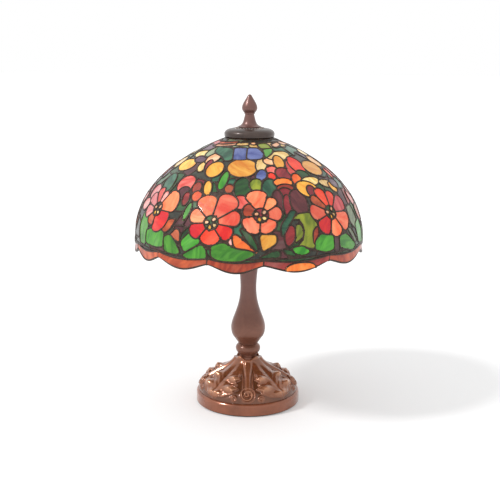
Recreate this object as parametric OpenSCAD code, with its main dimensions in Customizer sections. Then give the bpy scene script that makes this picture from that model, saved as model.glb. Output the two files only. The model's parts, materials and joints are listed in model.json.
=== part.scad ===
// Stained glass table lamp: a leaded glass dome on a cast and turned metal stand.
// Millimetres. +Z is up and the origin is the centre of the underside. Azimuth 0 is the
// front, which faces -Y, and azimuths grow towards +X.

/* [Shade] */
// Greatest radius of the glass dome
shade_r = 152.4; // [148:0.2:156]
// Radius of the opening at the top of the dome
aperture_r = 29; // [28.6:0.2:29.4]
// Height where the dome starts
crown_z = 365.6; // [365:0.1:365.6]
// Height where the dome ends and the scalloped border begins
spring_z = 232; // [230:1:234]
// Thickness of the glass
glass_t = 3; // [2.5:0.1:3]
// Width of the lead between two pieces of glass
lead_w = 1.2; // [0.8:0.1:1.6]
// How far the lead stands proud of the glass, inside and outside
lead_proud = 0.7; // [0.3:0.1:0.7]
// How far the tip of a lobe hangs below the valleys beside it
lobe_drop = 9.5; // [7:0.5:10]

/* [Stand] */
// Radius of the foot of the base
base_r = 71; // [70:0.5:72]
// Greatest radius of the column
column_r = 23.5; // [21:0.5:25]
// Radius of the column's slim neck
neck_r = 10.9; // [10:0.1:12]
// Height of the top of the column
column_top = 190; // [188:1:190]

/* [Harp] */
// Radius of the harp's wire
harp_wire_r = 2.2; // [1.8:0.1:2.2]
// Distance from the axis to each harp leg
harp_leg_x = 40; // [39:0.5:41]

/* [Cord inlet] */
// Radius of the hole for the cord
inlet_r = 3.6; // [3:0.1:3.8]

/* [Hidden] */
$fn = 96;

gap = 0.05;            // play left where two curved faces meet
bore_play = 0.4;       // play of the turned parts around the pipe
turned_steps = 20;     // steps along each curve of a turned part

// ---------------------------------------------------------------- curves

// Cubic Bezier through control points c, at t from 0 to 1
function bezier(c, t) =
    pow(1 - t, 3) * c[0] + 3 * pow(1 - t, 2) * t * c[1]
    + 3 * (1 - t) * t * t * c[2] + pow(t, 3) * c[3];

function bezier_slope(c, t) =
    3 * pow(1 - t, 2) * (c[1] - c[0]) + 6 * (1 - t) * t * (c[2] - c[1])
    + 3 * t * t * (c[3] - c[2]);

function bezier_points(c, n) = [for (i = [0:n]) bezier(c, i / n)];

function reversed(list) = [for (i = [len(list) - 1:-1:0]) list[i]];

// ---------------------------------------------------------------- heights up the stand

felt_t = 2;
ledge_z = 18;          // ledge in the casting that the ballast is pulled up against
nut_z = 3.5;
washer_z = 8;
ballast_z = 9.5;
base_top = 61;
knop_top = 82.7;
saddle_z = column_top + 3;
saddle_t = 2;
socket_z = saddle_z + saddle_t + 4;
shell_z = socket_z + 15;
shell_top = shell_z + 38;
shaft_z = shell_z + 8;
screw_shell_z = shell_z + 17;
bulb_z = screw_shell_z + 2;
pipe_r = 4.9;
pipe_hole = pipe_r + bore_play;

// ---------------------------------------------------------------- base

module felt_pad() color("darkolivegreen") cylinder(r = base_r - 3, h = felt_t);

// The cast foot: an upright rim, a mound and a waist that carries the knop
casting_curve = [[63, 18.6], [58, 40], [24, 44], [16.5, base_top]];
cavity_curve = [[52, ledge_z], [50, 34], [20, 38], [12, 57]];
rim_round = 3.5;

module base_casting() color("sienna") difference() {
    rotate_extrude() polygon(concat(
        [[66, felt_t], [base_r, felt_t], [base_r, 17 - rim_round]],
        [for (a = [15:15:90])
            [base_r - rim_round * (1 - cos(a)), 17 - rim_round * (1 - sin(a))]],
        [[65, 17.6]],
        bezier_points(casting_curve, 14),
        [[pipe_hole, base_top], [pipe_hole, 57]],
        reversed(bezier_points(cavity_curve, 10)),
        [[56.8, ledge_z], [56.8, 12], [66, 7]]
    ));
    // the hole for the cord bush, and the flat it seats on
    translate([0, 50, washer_z]) rotate([-90, 0, 0]) cylinder(r = 5, h = 30);
    translate([0, bush_seat, washer_z]) rotate([-90, 0, 0]) cylinder(r = 6.8, h = 5);
}

module ballast() color("dimgray") difference() {
    translate([0, 0, ballast_z]) cylinder(r = 56.3, h = ledge_z - ballast_z);
    translate([0, 0, ballast_z - 1]) cylinder(r = pipe_hole, h = 20);
}

module base_nut() color("goldenrod") nut(nut_z, washer_z - nut_z, 9.2);

module base_washer() color("silver") ring(pipe_hole, 14, washer_z, ballast_z);

bush_seat = base_r - 2.6;
bush_in = bush_seat - 9;
bush_out = bush_seat + 2;

module cord_bush() color("dimgray") rotate([-90, 0, 0]) translate([0, -washer_z, 0])
    rotate_extrude() polygon([
        [inlet_r, bush_in], [5 - gap, bush_in], [5 - gap, bush_seat], [6.4, bush_seat],
        [6.4, bush_out], [inlet_r, bush_out]
    ]);

// A tube or washer about the axis, from height z0 to z1
module ring(r_in, r_out, z0, z1) rotate_extrude()
    polygon([[r_in, z0], [r_out, z0], [r_out, z1], [r_in, z1]]);

// A hexagon nut on the pipe
module nut(z, h, r) translate([0, 0, z]) difference() {
    cylinder(r = r, h = h, $fn = 6);
    translate([0, 0, -1]) cylinder(r = pipe_r + gap, h = h + 2);
}

// ---------------------------------------------------------------- column

knop_foot = 67.2;
knop_curve = [[13.4, knop_foot + 0.6], [18.1, 73], [18.1, 77.4], [13.6, knop_top - 1.6]];

module knop() color("sienna") rotate_extrude() polygon(concat(
    [[pipe_hole, base_top], [12.4, base_top], [11.6, 63], [11.8, 66], [13.2, knop_foot]],
    bezier_points(knop_curve, turned_steps),
    [[12.4, knop_top - 0.6], [12.4, knop_top], [pipe_hole, knop_top]]
));

belly_z = 105;
belly_low = [[20.2, 92.4], [22.4, 95.6], [column_r, 100], [column_r, belly_z]];
belly_high = [[column_r, belly_z], [column_r, 118], [neck_r + 0.3, 132], [neck_r, 160]];
head_flare = [[neck_r, 160], [neck_r, 174], [12.4, 182], [12.9, column_top]];

module column() color("sienna") rotate_extrude() polygon(concat(
    [[13.4, knop_top], [14.2, knop_top + 1.2], [19.4, 91.6]],
    bezier_points(belly_low, turned_steps),
    bezier_points(belly_high, turned_steps),
    bezier_points(head_flare, turned_steps),
    [[pipe_hole, column_top], [pipe_hole, column_top - 6]],
    [[8, column_top - 8], [8, 92], [pipe_hole, 90], [pipe_hole, knop_top]]
));

module neck_ring() color("sienna") ring(pipe_hole, 13.6, column_top, saddle_z);

module stem_pipe() color("goldenrod") ring(3.4, pipe_r, nut_z - 0.5, socket_z + 6);

module saddle_nut() color("goldenrod") nut(saddle_z + saddle_t, 4, 8);

// ---------------------------------------------------------------- harp

stub_z = saddle_z + 10;            // where a saddle post ends and its round stub begins
lap_z = stub_z + 4;                // half-lap joint between stub and harp leg
lap_h = 5;
ferrule_h = 13;

module harp_saddle() color("goldenrod") {
    difference() {
        translate([0, 0, saddle_z + saddle_t / 2])
            cube([2 * harp_leg_x + 2.4, 12, saddle_t], center = true);
        translate([0, 0, saddle_z - 1]) cylinder(r = pipe_hole, h = 4);
    }
    for (side = [-1, 1]) {
        translate([side * harp_leg_x, 0, (saddle_z + saddle_t + stub_z) / 2])
            cube([2.4, 9, stub_z - saddle_z - saddle_t], center = true);
        translate([side * harp_leg_x, 0, stub_z])
            cylinder(r = harp_wire_r, h = lap_z - stub_z);
        half_round(side, -side, lap_z);
    }
}

// Half of a round bar at one leg, on the side of it that `half` names: 1 for +X, -1 for -X
module half_round(side, half, z) translate([side * harp_leg_x, 0, z]) intersection() {
    cylinder(r = harp_wire_r, h = lap_h);
    translate([half * 5, 0, lap_h / 2]) cube([10, 10, lap_h + 2], center = true);
}

// The wire's route in the X-Z plane: up the leg, a small bend out, a long bow, a corner
leg_top = [harp_leg_x, lap_z + lap_h + 27];
out_bend = [40, 16];               // radius and angle of each bend
bow_bend = [150, 34];
corner_bend = [32.6, 72];
corner_start = bow_bend[1] - out_bend[1];
out_centre = leg_top + [out_bend[0], 0];
bow_centre = out_centre + (out_bend[0] + bow_bend[0]) * [-cos(out_bend[1]), sin(out_bend[1])];
corner_centre = bow_centre
    + (bow_bend[0] - corner_bend[0]) * [cos(corner_start), sin(corner_start)];
corner_end = corner_centre + [0, corner_bend[0]];
harp_top = corner_end[1];
bracket_t = 3;

function bend_points(centre, bend, from, turn, n) = [for (i = [1:n])
    let (a = from + turn * bend[1] * i / n) centre + bend[0] * [cos(a), sin(a)]];

harp_route = concat(
    [[harp_leg_x, lap_z + lap_h], leg_top],
    bend_points(out_centre, out_bend, 180, -1, 4),
    bend_points(bow_centre, bow_bend, -out_bend[1], 1, 12),
    bend_points(corner_centre, corner_bend, corner_start, 1, 10)
);

// Points round a route at its point k, square to it; `up` is a direction the route never takes
function tube_ring(route, k, r, sides, up, closed) =
    let (n = len(route), ahead = route[closed ? (k + 1) % n : min(k + 1, n - 1)],
         behind = route[closed ? (k + n - 1) % n : max(k - 1, 0)],
         course = (ahead - behind) / norm(ahead - behind), across = cross(up, course),
         side = across / norm(across), rise = cross(course, side))
    [for (j = [0:sides - 1]) let (a = 360 * (j + 0.5) / sides)
        route[k] + r * (cos(a) * side + sin(a) * rise)];

// A wire along a route, with flat ends unless it closes on itself
module tube(route, r, sides, up, closed = false) {
    n = len(route);
    polyhedron(
        points = [for (k = [0:n - 1], p = tube_ring(route, k, r, sides, up, closed)) p],
        faces = concat(
            [for (k = [0:n - (closed ? 1 : 2)], j = [0:sides - 1])
                let (here = k * sides, next = (k + 1) % n * sides, beside = (j + 1) % sides)
                [here + j, next + j, next + beside, here + beside]],
            closed ? [] : [[for (j = [0:sides - 1]) j],
                [for (j = [sides - 1:-1:0]) (n - 1) * sides + j]]
        )
    );
}

module harp_side() {
    half_round(1, 1, lap_z);
    tube([for (p = harp_route) [p[0], 0, p[1]]], harp_wire_r - 0.05, 12, [0, 1, 0]);
}

module harp() color("goldenrod") {
    harp_side();
    mirror([1, 0, 0]) harp_side();
    difference() {
        translate([0, 0, harp_top])
            cube([2 * corner_end[0] + 1, 11, bracket_t], center = true);
        translate([0, 0, harp_top - 5]) cylinder(r = stud_shank_r + 0.08, h = 10);
    }
}

module ferrule(side) color("goldenrod") translate([side * harp_leg_x, 0, 0])
    ring(harp_wire_r + 0.1, 4.2, stub_z, stub_z + ferrule_h);

module ferrule_left() ferrule(-1);

module ferrule_right() ferrule(1);

// ---------------------------------------------------------------- socket and switch

module socket_cap() color("darkgoldenrod") rotate_extrude() polygon([
    [pipe_r + gap, socket_z], [8.5, socket_z], [9, socket_z + 4], [15.6, socket_z + 10],
    [17.4, shell_z], [16.6, shell_z], [14.8, socket_z + 10.8], [8, socket_z + 5],
    [pipe_r + gap, socket_z + 5]
]);

// The hole that the switch shaft passes through
module shaft_hole(r) translate([0, 0, shaft_z]) rotate([90, 0, 0]) cylinder(r = r, h = 30);

module socket_shell() color("darkgoldenrod") difference() {
    rotate_extrude() polygon([
        [16.8, shell_z], [17.4, shell_z], [17.4, shell_top - 2], [18.2, shell_top - 1.4],
        [18.2, shell_top - 0.6], [17.4, shell_top], [16.8, shell_top]
    ]);
    shaft_hole(2.4);
}

module socket_liner() color("black") difference() {
    ring(15.6, 16.7, shell_z, shell_top - 1);
    shaft_hole(2.4);
}

module socket_interior() color("black") difference() {
    translate([0, 0, shell_z]) cylinder(r = 14.6, h = screw_shell_z - shell_z);
    for (side = [-1, 1])
        translate([side * 20, 0, shell_z + 6]) cube([16, 40, 14], center = true);
    shaft_hole(1.66);
}

module terminal_screws() color("gold") for (side = [-1, 1])
    translate([side * 12, 0, shell_z + 7]) rotate([0, side * 90, 0]) cylinder(r = 2.6, h = 2);

module screw_shell() color("gold") ring(13.4, 14.1, screw_shell_z, shell_top - 2);

module centre_contact() color("gold")
    translate([0, 0, screw_shell_z]) cylinder(r = 3, h = bulb_z - screw_shell_z);

module switch_shaft() color("gold") translate([0, -1, shaft_z]) rotate([90, 0, 0])
    cylinder(r = 1.6, h = 28);

// A round key with two flats, turned about the shaft
module switch_knob() color("black") intersection() {
    translate([0, -19, shaft_z]) rotate([90, 0, 0]) difference() {
        cylinder(r = 7.5, h = 17);
        translate([0, 0, -1]) cylinder(r = 1.6, h = 12);
    }
    union() {
        translate([0, -22, shaft_z]) rotate([90, 0, 0]) cylinder(r = 4, h = 6, center = true);
        translate([0, -30, shaft_z]) cube([5, 12, 16], center = true);
    }
}

// ---------------------------------------------------------------- bulb

bulb_cap_z = bulb_z + 4.5;
bulb_cap_top = bulb_cap_z + 20.5;
thread_pitch = 3.63;
thread_steps = 34;
globe_r = 30;
globe_z = bulb_cap_top + 50;
globe_curve = [[13.4, bulb_cap_top + 0.3], [14.5, bulb_cap_top + 17],
    [globe_r, bulb_cap_top + 27], [globe_r, globe_z]];
globe_inner = [[12.4, bulb_cap_top + 0.3], [13.5, bulb_cap_top + 17],
    [globe_r - 1, bulb_cap_top + 27], [globe_r - 1, globe_z]];

module bulb_contact() color("gold") translate([0, 0, bulb_z]) cylinder(r = 4.2, h = 1.5);

module bulb_insulator() color("black") translate([0, 0, bulb_z + 1.5])
    cylinder(r1 = 5.5, r2 = 11.5, h = 3);

module bulb_cap() color("silver") rotate_extrude() polygon(concat(
    [[12, bulb_cap_z], [12.4, bulb_cap_z]],
    [for (i = [1:thread_steps])
        let (z = bulb_cap_z + (bulb_cap_top - 3 - bulb_cap_z) * i / thread_steps)
        [12.75 + 0.3 * sin(360 * (z - bulb_cap_z) / thread_pitch), z]],
    [[13, bulb_cap_top - 2], [13, bulb_cap_top], [12, bulb_cap_top]]
));

module bulb_globe() color("white") rotate_extrude() polygon(concat(
    [[11, bulb_cap_top - 8], [11.9, bulb_cap_top - 8], [11.9, bulb_cap_top + 0.3]],
    bezier_points(globe_curve, 10),
    [for (a = [9:9:90]) [globe_r * cos(a), globe_z + globe_r * sin(a)]],
    [for (a = [90:-9:9]) [(globe_r - 1) * cos(a), globe_z + (globe_r - 1) * sin(a)]],
    reversed(bezier_points(globe_inner, 10)),
    [[11, bulb_cap_top - 1]]
));

stem_top = bulb_cap_top + 28;

module bulb_stem() color("lightcyan") rotate_extrude() polygon([
    [0, bulb_cap_top - 6], [10.8, bulb_cap_top - 6], [10.8, bulb_cap_top - 5],
    [4.5, bulb_cap_top + 3], [3, bulb_cap_top + 12], [3, stem_top], [0, stem_top]
]);

module bulb_filament() color("gray") {
    for (side = [-1, 1]) translate([side * 9, 0, bulb_cap_top + 5])
        cylinder(r = 0.5, h = 33, $fn = 16);
    translate([0, 0, bulb_cap_top + 38]) rotate([0, 90, 0])
        cylinder(r = 0.6, h = 19, center = true, $fn = 16);
}

// ---------------------------------------------------------------- what carries the shade

stud_shank_r = 3;
stud_thread_r = 3.175;
flange_z = harp_top + bracket_t / 2;
wheel_z = flange_z + 2;
wheel_t = 1.4;
cap_under = crown_z + 0.3;
cap_top = 377.6;
cap_t = 1.5;
washer_t = 0.8;
finial_z = cap_top + washer_t;

// The swivel stud: riveted loosely through the harp's bracket, threaded above its flange
module harp_stud() color("goldenrod") rotate_extrude() polygon([
    [0, flange_z - bracket_t - 3], [5.5, flange_z - bracket_t - 3],
    [5.5, flange_z - bracket_t - 0.3], [stud_shank_r, flange_z - bracket_t - 0.3],
    [stud_shank_r, flange_z], [9, flange_z], [9, wheel_z], [stud_thread_r, wheel_z],
    [stud_thread_r, finial_z + 11], [0, finial_z + 11]
]);

module shade_wheel() color("goldenrod") difference() {
    union() {
        translate([0, 0, wheel_z]) cylinder(r = 11, h = wheel_t);
        for (a = [90, 210, 330]) rotate([0, 0, a])
            translate([9, -2.5, wheel_z]) cube([14, 5, wheel_t]);
        ring(22, 25.8, wheel_z, wheel_z + wheel_t);
    }
    translate([0, 0, wheel_z - 1]) cylinder(r = stud_thread_r + 0.15, h = 5);
}

ring_t = 1.6;

// The side of the topmost lead, which the aperture ring is soldered to
function lead_side(out) =
    let (s = bezier_slope(dome, 0)) dome_point(0, out) - (lead_w / 2 + 0.02) * s / norm(s);

module aperture_ring() color("goldenrod") rotate_extrude() polygon([
    lead_side(-glass_t - lead_proud), lead_side(lead_proud),
    lead_side(lead_proud) - [ring_t, 0], lead_side(-glass_t - lead_proud) - [ring_t, 0]
]);

module cap_spacer() color("goldenrod")
    ring(stud_thread_r + 0.15, 5.2, wheel_z + wheel_t, cap_top - cap_t);

cap_curve = [[33.3, 369.4], [33.3, 374.6], [27.5, cap_top - 0.9], [20, cap_top - 0.4]];
cap_inner = [[31.8, 369.4], [31.8, 373], [27.5, cap_top - cap_t - 1], [19.5, cap_top - cap_t - 0.5]];

module vase_cap() color("saddlebrown") rotate_extrude() polygon(concat(
    [[31.4, cap_under + 0.6], [32.2, cap_under], [33, cap_under + 0.8]],
    bezier_points(cap_curve, turned_steps),
    [[15, cap_top], [stud_thread_r + 0.15, cap_top], [stud_thread_r + 0.15, cap_top - cap_t],
     [12, cap_top - cap_t]],
    reversed(bezier_points(cap_inner, 8))
));

// ---------------------------------------------------------------- finial

finial_bore = 5;
finial_bore_h = 13.5;
tip_z = 421.3;
foot_curve = [[14.6, finial_z + 1.4], [8.5, finial_z + 3], [8, finial_z + 9], [6.2, finial_z + 16]];
bud_low = [[7.2, finial_z + 19], [8.4, finial_z + 20.4], [10.2, finial_z + 22], [10.2, finial_z + 25.4]];
bud_high = [[10.2, finial_z + 25.4], [10.2, finial_z + 30], [4.6, tip_z - 5.5], [3, tip_z - 2.4]];

module finial_washer() color("black")
    ring(stud_thread_r + 0.15, 9, cap_top, cap_top + washer_t);

module finial_bush() color("gold")
    ring(stud_thread_r + gap, finial_bore - 0.02, finial_z, finial_z + finial_bore_h);

module finial() color("sienna") rotate_extrude() polygon(concat(
    [[finial_bore, finial_z], [14.4, finial_z], [14.9, finial_z + 0.6]],
    bezier_points(foot_curve, turned_steps),
    [[6.2, finial_z + 17.2], [7.2, finial_z + 17.8]],
    bezier_points(bud_low, turned_steps),
    bezier_points(bud_high, turned_steps),
    [[1.8, tip_z - 0.7], [0, tip_z], [0, finial_z + finial_bore_h],
     [finial_bore, finial_z + finial_bore_h]]
));

// ---------------------------------------------------------------- shade

// The dome's outer curve, from the opening down to the spring line, as [radius, height]
dome = [
    [aperture_r, crown_z], [aperture_r + 38.4, crown_z - 16],
    [shade_r, spring_z + 80.5], [shade_r, spring_z]
];
valley_z = spring_z - 4.5;

function dome_point(t, out) =
    let (s = bezier_slope(dome, t), u = s / norm(s)) bezier(dome, t) + out * [-u[1], u[0]];

// How much t changes over a length along the curve
function along(t, length) = length / norm(bezier_slope(dome, t));

// The section of the dome between two places, from `inner` below the outer face to `outer` above
function section(t0, t1, margin, outer, inner) =
    let (a = t0 + along(t0, margin), b = t1 - along(t1, margin), n = 5)
    concat([for (i = [0:n]) dome_point(a + (b - a) * i / n, outer)],
           [for (i = [n:-1:0]) dome_point(a + (b - a) * i / n, -inner)]);

// Where the rings of lead run, as places along the dome's curve
rows = [0, 0.14, 0.36, 0.55, 0.86, 1];

// Azimuths of the valleys between the border's lobes, which are cut freely
valleys = [-93, -70, -47.5, -19, 7, 41, 72, 96, 122, 147, 171, 196, 220, 243, 267];
lobes = len(valleys) - 1;

// Where the upright leads of a row run: over the valleys, or halfway between them
function cuts(row) = [for (i = [0:lobes])
    row % 2 == 0 ? valleys[i] : (valleys[i] + (i < lobes ? valleys[i + 1] : valleys[1] + 360)) / 2];

function lead_angle(row) = lead_w / dome_point((rows[row] + rows[row + 1]) / 2, 0)[0] * 180 / PI;

// Turns a wedge so that it starts at an azimuth and sweeps to another
module wedge(from, to) rotate([0, 0, from - 90]) rotate_extrude(angle = to - from) children();

module glass_row(row) {
    at = cuts(row);
    play = lead_angle(row) * 0.54;
    for (i = [0:lobes - 1]) wedge(at[i] + play, at[i + 1] - play)
        polygon(section(rows[row], rows[row + 1], lead_w / 2 + gap, 0, glass_t));
}

module glass_crown() color("darkseagreen") glass_row(0);

module glass_blossoms() color("goldenrod") glass_row(1);

module glass_ground() color("seagreen") glass_row(2);

module glass_flowers() color("tomato") glass_row(3);

module glass_leaves() color("forestgreen") glass_row(4);

// Height of the border's edge at a share u of a lobe's half width, from -1 to 1
function edge_z(u) = valley_z - lobe_drop * pow(cos(90 * u), 1.3);

lobe_steps = 12;

// One lobe: a wedge of the border cut to the outline of its scallop
module lobe(from, to) {
    half = (to - from) / 2;
    play = lead_w * 0.54 / shade_r * 180 / PI;
    width = shade_r * sin(half);
    intersection() {
        wedge(from + play, to - play) translate([shade_r - glass_t, valley_z - lobe_drop - 1])
            square([glass_t, spring_z - lead_w / 2 - gap - valley_z + lobe_drop + 1]);
        rotate([0, 0, from + half]) rotate([90, 0, 0]) translate([0, 0, shade_r * 0.8])
            linear_extrude(shade_r * 0.4) polygon(concat(
                [[-width, spring_z + 2], [width, spring_z + 2]],
                [for (i = [0:lobe_steps])
                    let (u = 1 - 2 * i / lobe_steps) [width * u, edge_z(u)]]
            ));
    }
}

module glass_border() color("orangered") for (i = [0:lobes - 1]) lobe(valleys[i], valleys[i + 1]);

module lead_rings() color("darkslategray") {
    half = lead_w / 2;
    for (t = rows) {
        rotate_extrude() polygon([
            for (corner = [[-half, -1], [half, -1], [half, 1], [-half, 1]])
                let (at = dome_point(t, corner[1] > 0 ? lead_proud : -glass_t - lead_proud),
                     s = bezier_slope(dome, t))
                at + corner[0] * s / norm(s)
        ]);
    }
}

module lead_ribs() color("darkslategray") for (row = [0:len(rows) - 2]) {
    at = cuts(row);
    half = lead_angle(row) / 2;
    cover = row == 0 ? along(0, 2.5) : 0;   // the cap's lip sits over the top of the first row
    for (i = [0:lobes - 1]) wedge(at[i] - half, at[i] + half) polygon(section(
        rows[row] + cover, rows[row + 1], lead_w / 2 + 0.02, lead_proud, glass_t + lead_proud
    ));
}

wire_r = 1.3;
wire_gap = 0.9;                    // filled by solder on the glass's edge

// Centre of the wire that stiffens the border's edge, in lobe i at share u of its half width
function wire_centre(i, u) =
    let (middle = (valleys[i] + valleys[i + 1]) / 2, half = (valleys[i + 1] - valleys[i]) / 2,
         a = middle + u * half - 90, r = shade_r - glass_t / 2)
    [r * cos(a), r * sin(a), edge_z(u) - wire_r - wire_gap];

wire_steps = 8;                    // points in each lobe
wire_route = [for (i = [0:lobes - 1], k = [0:wire_steps - 1]) wire_centre(i, 2 * k / wire_steps - 1)];

module rim_wire() color("darkslategray") tube(wire_route, wire_r, 6, [0, 0, 1], closed = true);

// ---------------------------------------------------------------- one node at a time

felt_pad();
base_casting();
ballast();
base_nut();
base_washer();
cord_bush();
knop();
column();
neck_ring();
stem_pipe();
saddle_nut();
harp_saddle();
harp();
ferrule_left();
ferrule_right();
socket_cap();
socket_shell();
socket_liner();
socket_interior();
terminal_screws();
screw_shell();
centre_contact();
switch_shaft();
switch_knob();
bulb_contact();
bulb_insulator();
bulb_cap();
bulb_globe();
bulb_stem();
bulb_filament();
harp_stud();
shade_wheel();
aperture_ring();
cap_spacer();
vase_cap();
glass_crown();
glass_blossoms();
glass_ground();
glass_flowers();
glass_leaves();
glass_border();
lead_rings();
lead_ribs();
rim_wire();
finial_washer();
finial_bush();
finial();
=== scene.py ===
"""Looks of a stained glass table lamp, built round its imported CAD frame.

The shade's pattern is laid out on the unrolled dome, by azimuth in degrees (0 at the front,
growing towards +X) and distance down the dome in millimetres. It is cut into pieces of glass,
which are wrapped onto the dome and joined by beads of lead.
"""

import json
import math
import random

import bpy
import numpy as np
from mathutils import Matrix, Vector, kdtree, noise
from mathutils.geometry import delaunay_2d_cdt


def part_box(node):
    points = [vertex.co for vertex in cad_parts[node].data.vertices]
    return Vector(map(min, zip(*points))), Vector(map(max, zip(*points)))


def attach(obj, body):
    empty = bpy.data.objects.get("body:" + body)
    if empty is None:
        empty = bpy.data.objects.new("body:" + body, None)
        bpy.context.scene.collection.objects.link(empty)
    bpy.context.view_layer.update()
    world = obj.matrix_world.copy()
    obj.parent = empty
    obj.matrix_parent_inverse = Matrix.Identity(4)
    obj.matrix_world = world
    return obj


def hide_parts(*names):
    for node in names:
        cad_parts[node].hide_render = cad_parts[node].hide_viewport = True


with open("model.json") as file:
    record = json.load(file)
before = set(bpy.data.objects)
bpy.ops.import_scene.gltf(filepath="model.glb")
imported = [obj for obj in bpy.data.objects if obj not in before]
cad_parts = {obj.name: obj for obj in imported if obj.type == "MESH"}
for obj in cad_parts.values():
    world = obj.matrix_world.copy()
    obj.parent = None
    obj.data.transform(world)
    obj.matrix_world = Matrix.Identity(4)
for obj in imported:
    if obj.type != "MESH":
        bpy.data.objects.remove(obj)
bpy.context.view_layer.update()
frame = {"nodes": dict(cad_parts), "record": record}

MM = 0.001


def low(node):
    """The lowest corner of a CAD node, in millimetres."""
    return np.array(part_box(node)[0]) / MM


def high(node):
    """The highest corner of a CAD node, in millimetres."""
    return np.array(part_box(node)[1]) / MM


# ---------------------------------------------------------------- meshes


def add_mesh(name, points, faces, materials, smooth=True, face_materials=None, sharp=None):
    """A mesh object from points in millimetres."""
    mesh = bpy.data.meshes.new(name)
    mesh.from_pydata((np.asarray(points, float) * MM).tolist(), [], faces)
    for material in materials:
        mesh.materials.append(material)
    if face_materials is not None:
        mesh.polygons.foreach_set("material_index", face_materials)
    mesh.polygons.foreach_set("use_smooth", [smooth] * len(mesh.polygons))
    if sharp is not None:
        mesh.set_sharp_from_angle(angle=math.radians(sharp))
    mesh.update()
    piece = bpy.data.objects.new(name, mesh)
    bpy.context.scene.collection.objects.link(piece)
    return piece


def bezier(ends_and_handles, count):
    """Points along a cubic curve from its start, its two handles and its end."""
    t = np.linspace(0, 1, count)[:, None]
    a, b, c, d = np.asarray(ends_and_handles, float)
    return (1 - t) ** 3 * a + 3 * (1 - t) ** 2 * t * b + 3 * (1 - t) * t * t * c + t ** 3 * d


def around(azimuth, radius, z):
    """Points about the lamp's axis, from azimuths in radians."""
    return np.stack([radius * np.sin(azimuth), -radius * np.cos(azimuth), z], axis=-1)


def grid_faces(rings, count, closed=False):
    """Faces between rings of `count` points, and from the last ring to the first if closed."""
    return [(i * count + j, i * count + (j + 1) % count,
             (i + 1) % rings * count + (j + 1) % count, (i + 1) % rings * count + j)
            for i in range(rings if closed else rings - 1) for j in range(count)]


class Batch:
    """Gathers many small closed shells into one mesh."""

    def __init__(self):
        self.points, self.faces, self.count = [], [], 0

    def add(self, points, faces):
        self.points.append(points)
        self.faces += [tuple(self.count + i for i in face) for face in faces]
        self.count += len(points)

    def build(self, name, materials, **settings):
        return add_mesh(name, np.vstack(self.points), self.faces, materials, **settings)


# ---------------------------------------------------------------- materials


class Nodes:
    """Builds one material's node tree."""

    def __init__(self, name):
        self.material = bpy.data.materials.new(name)
        self.material.use_nodes = True
        self.tree = self.material.node_tree
        self.shader = self.tree.nodes["Principled BSDF"]

    def add(self, kind, inputs=(), **settings):
        """Adds a node; inputs maps a socket's name or number to a value or to another socket."""
        node = self.tree.nodes.new(kind)
        for key, value in settings.items():
            setattr(node, key, value)
        for key, value in dict(inputs).items():
            self.set(node.inputs[key], value)
        return node

    def set(self, socket, value):
        if isinstance(value, bpy.types.NodeSocket):
            self.tree.links.new(value, socket)
        else:
            socket.default_value = value

    def place(self):
        return self.add("ShaderNodeTexCoord").outputs["Object"]

    def attribute(self, name, output="Fac"):
        return self.add("ShaderNodeAttribute", attribute_name=name).outputs[output]

    def stretched(self, vector, *scale):
        return self.add("ShaderNodeMapping", {"Vector": vector, "Scale": scale}).outputs[0]

    def noise(self, vector, scale, detail=4.0, roughness=0.55, distortion=0.0):
        return self.add("ShaderNodeTexNoise", {
            "Vector": vector, "Scale": scale, "Detail": detail, "Roughness": roughness,
            "Distortion": distortion,
        }).outputs["Fac"]

    def spread(self, value, from_low, from_high, to_low=0.0, to_high=1.0):
        """Maps one range of values onto another, clamped."""
        return self.add("ShaderNodeMapRange", {
            "Value": value, "From Min": from_low, "From Max": from_high,
            "To Min": to_low, "To Max": to_high,
        }).outputs[0]

    def mix(self, factor, a, b):
        node = self.add("ShaderNodeMix", data_type="RGBA")
        self.set(node.inputs["Factor"], factor)
        self.set(node.inputs[6], (*a, 1.0) if isinstance(a, tuple) else a)
        self.set(node.inputs[7], (*b, 1.0) if isinstance(b, tuple) else b)
        return node.outputs[2]

    def math(self, operation, a, b=0.0):
        return self.add("ShaderNodeMath", {0: a, 1: b}, operation=operation).outputs[0]

    def bump(self, height, strength, distance):
        normal = self.add("ShaderNodeBump", {
            "Height": height, "Strength": strength, "Distance": distance,
        }).outputs[0]
        self.set(self.shader.inputs["Normal"], normal)

    def surface(self, **sockets):
        """Sets the shader's sockets, each named as in Blender or by its short name here."""
        names = {"color": "Base Color", "coat": "Coat Weight", "ior": "IOR",
                 "transmission": "Transmission Weight"}
        for key, value in sockets.items():
            name = names.get(key, key.replace("_", " ").title())
            if isinstance(value, tuple):
                value = (*value, 1.0)
            self.set(self.shader.inputs[name], value)
        return self.material


def linear(red, green, blue):
    """A colour given as it looks on screen, from 0 to 255, in the scene's linear light."""
    return tuple(((c / 255 + 0.055) / 1.055) ** 2.4 if c > 10 else c / 255 / 12.92
                 for c in (red, green, blue))


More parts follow.
